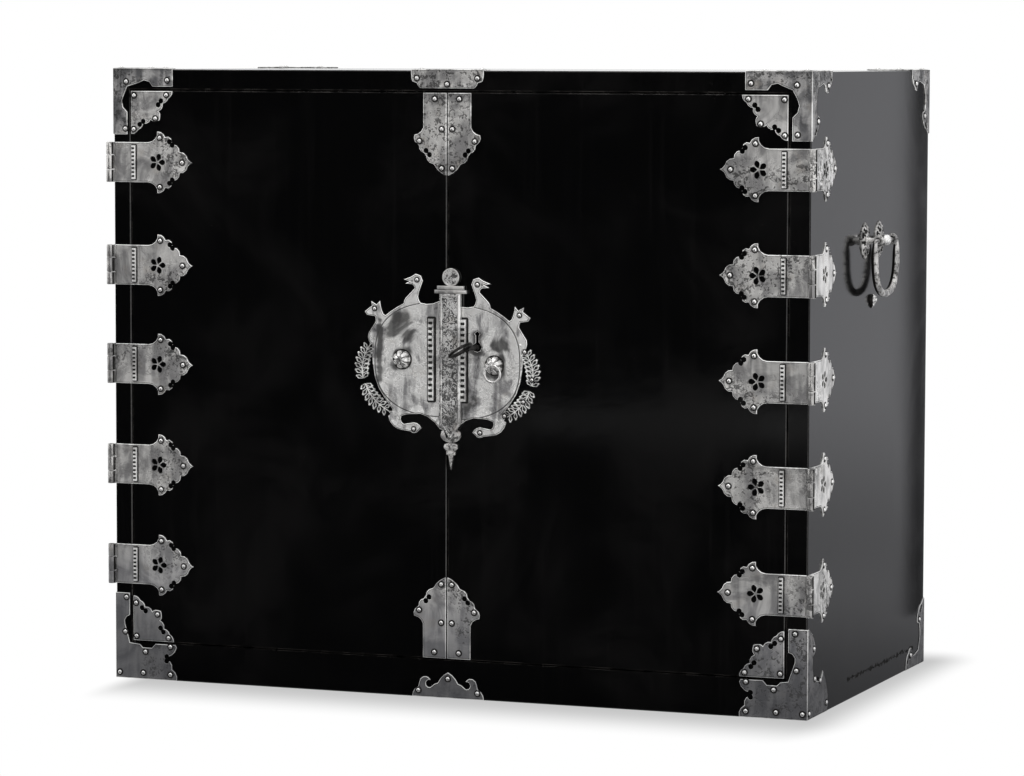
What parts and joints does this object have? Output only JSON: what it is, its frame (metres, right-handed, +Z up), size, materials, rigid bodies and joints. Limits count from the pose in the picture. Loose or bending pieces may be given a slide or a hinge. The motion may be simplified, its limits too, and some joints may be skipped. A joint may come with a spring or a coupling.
{
  "type": "lacquer cabinet",
  "caption": "Low black lacquer cabinet with two hinged doors, scalloped white-metal mounts, a pictorial lock plate with staff and key, and a swinging bail handle on each side.",
  "frame": {"origin": "middle of the case's underside, on the floor", "axes": "+X to the viewer's right along the front, +Y from the doors to the back, +Z up"},
  "size_m": [0.7858, 0.4856, 0.6313],
  "materials": {
    "lacquer": "polished black lacquer on wood, worn along the edges",
    "white_metal": "worn and pitted white metal",
    "iron": "blackened iron"
  },
  "bodies": {
    "case": {"top_board": "lacquer", "bottom_board": "lacquer", "side_left": "lacquer", "side_right": "lacquer", "back_board": "lacquer", "sill_rail": "lacquer", "shelf": "lacquer", "side_leaf_left_1": "white_metal", "side_leaf_left_2": "white_metal", "side_leaf_left_3": "white_metal", "side_leaf_left_4": "white_metal", "side_leaf_left_5": "white_metal", "side_leaf_right_1": "white_metal", "side_leaf_right_2": "white_metal", "side_leaf_right_3": "white_metal", "side_leaf_right_4": "white_metal", "side_leaf_right_5": "white_metal", "corner_mount_top_front_left": "white_metal", "corner_mount_top_front_right": "white_metal", "corner_mount_top_rear_left": "white_metal", "corner_mount_top_rear_right": "white_metal", "corner_mount_foot_front_left": "white_metal", "corner_mount_foot_front_right": "white_metal", "corner_mount_foot_rear_left": "white_metal", "corner_mount_foot_rear_right": "white_metal", "rail_mount_top": "white_metal", "rail_mount_foot": "white_metal", "handle_eye_front_left": "white_metal", "handle_eye_rear_left": "white_metal", "handle_eye_front_right": "white_metal", "handle_eye_rear_right": "white_metal"},
    "left_door": {"door_left": "lacquer", "door_leaf_left_1": "white_metal", "door_leaf_left_2": "white_metal", "door_leaf_left_3": "white_metal", "door_leaf_left_4": "white_metal", "door_leaf_left_5": "white_metal", "door_corner_top_left": "white_metal", "door_corner_foot_left": "white_metal", "door_centre_top_left": "white_metal", "door_centre_foot_left": "white_metal", "lock_plate_left": "white_metal"},
    "right_door": {"door_right": "lacquer", "door_leaf_right_1": "white_metal", "door_leaf_right_2": "white_metal", "door_leaf_right_3": "white_metal", "door_leaf_right_4": "white_metal", "door_leaf_right_5": "white_metal", "door_corner_top_right": "white_metal", "door_corner_foot_right": "white_metal", "door_centre_top_right": "white_metal", "door_centre_foot_right": "white_metal", "lock_plate_right": "white_metal", "lock_staff": "white_metal", "lock_case": "iron"},
    "key": {"key": "iron"},
    "bolt": {"lock_bolt": "iron"},
    "ring": {"ring_pull": "white_metal"},
    "left_bail": {"bail_left": "white_metal"},
    "right_bail": {"bail_right": "white_metal"}
  },
  "joints": [
    {"name": "left_door_hinge", "type": "hinge", "parent": "case", "child": "left_door", "pos_m": [-0.3772, -0.2137, 0.315], "axis": [0, 0, -1], "range_deg": [0, 250]},
    {"name": "right_door_hinge", "type": "hinge", "parent": "case", "child": "right_door", "pos_m": [0.3772, -0.2137, 0.315], "axis": [0, 0, 1], "range_deg": [0, 250]},
    {"name": "left_bail_pivot", "type": "hinge", "parent": "case", "child": "left_bail", "pos_m": [-0.3885, 0, 0.46], "axis": [0, 1, 0], "range_deg": [-4, 190]},
    {"name": "right_bail_pivot", "type": "hinge", "parent": "case", "child": "right_bail", "pos_m": [0.3885, 0, 0.46], "axis": [0, -1, 0], "range_deg": [-4, 190]},
    {"name": "ring_pivot", "type": "hinge", "parent": "right_door", "child": "ring", "pos_m": [0.0488, -0.2218, 0.338], "axis": [-1, 0, 0], "range_deg": [-10, 180]},
    {"name": "key_turn", "type": "hinge", "parent": "right_door", "child": "key", "pos_m": [0.0285, -0.2, 0.355], "axis": [0, -1, 0], "range_deg": [0, 110]},
    {"name": "bolt_slide", "type": "slide", "parent": "right_door", "child": "bolt", "axis": [-1, 0, 0], "range_m": [0, 0.01311]}
  ],
  "couplings": [
    {"joint": "bolt_slide", "follows": "key_turn", "m_per_rad": 0.0068265}
  ]
}
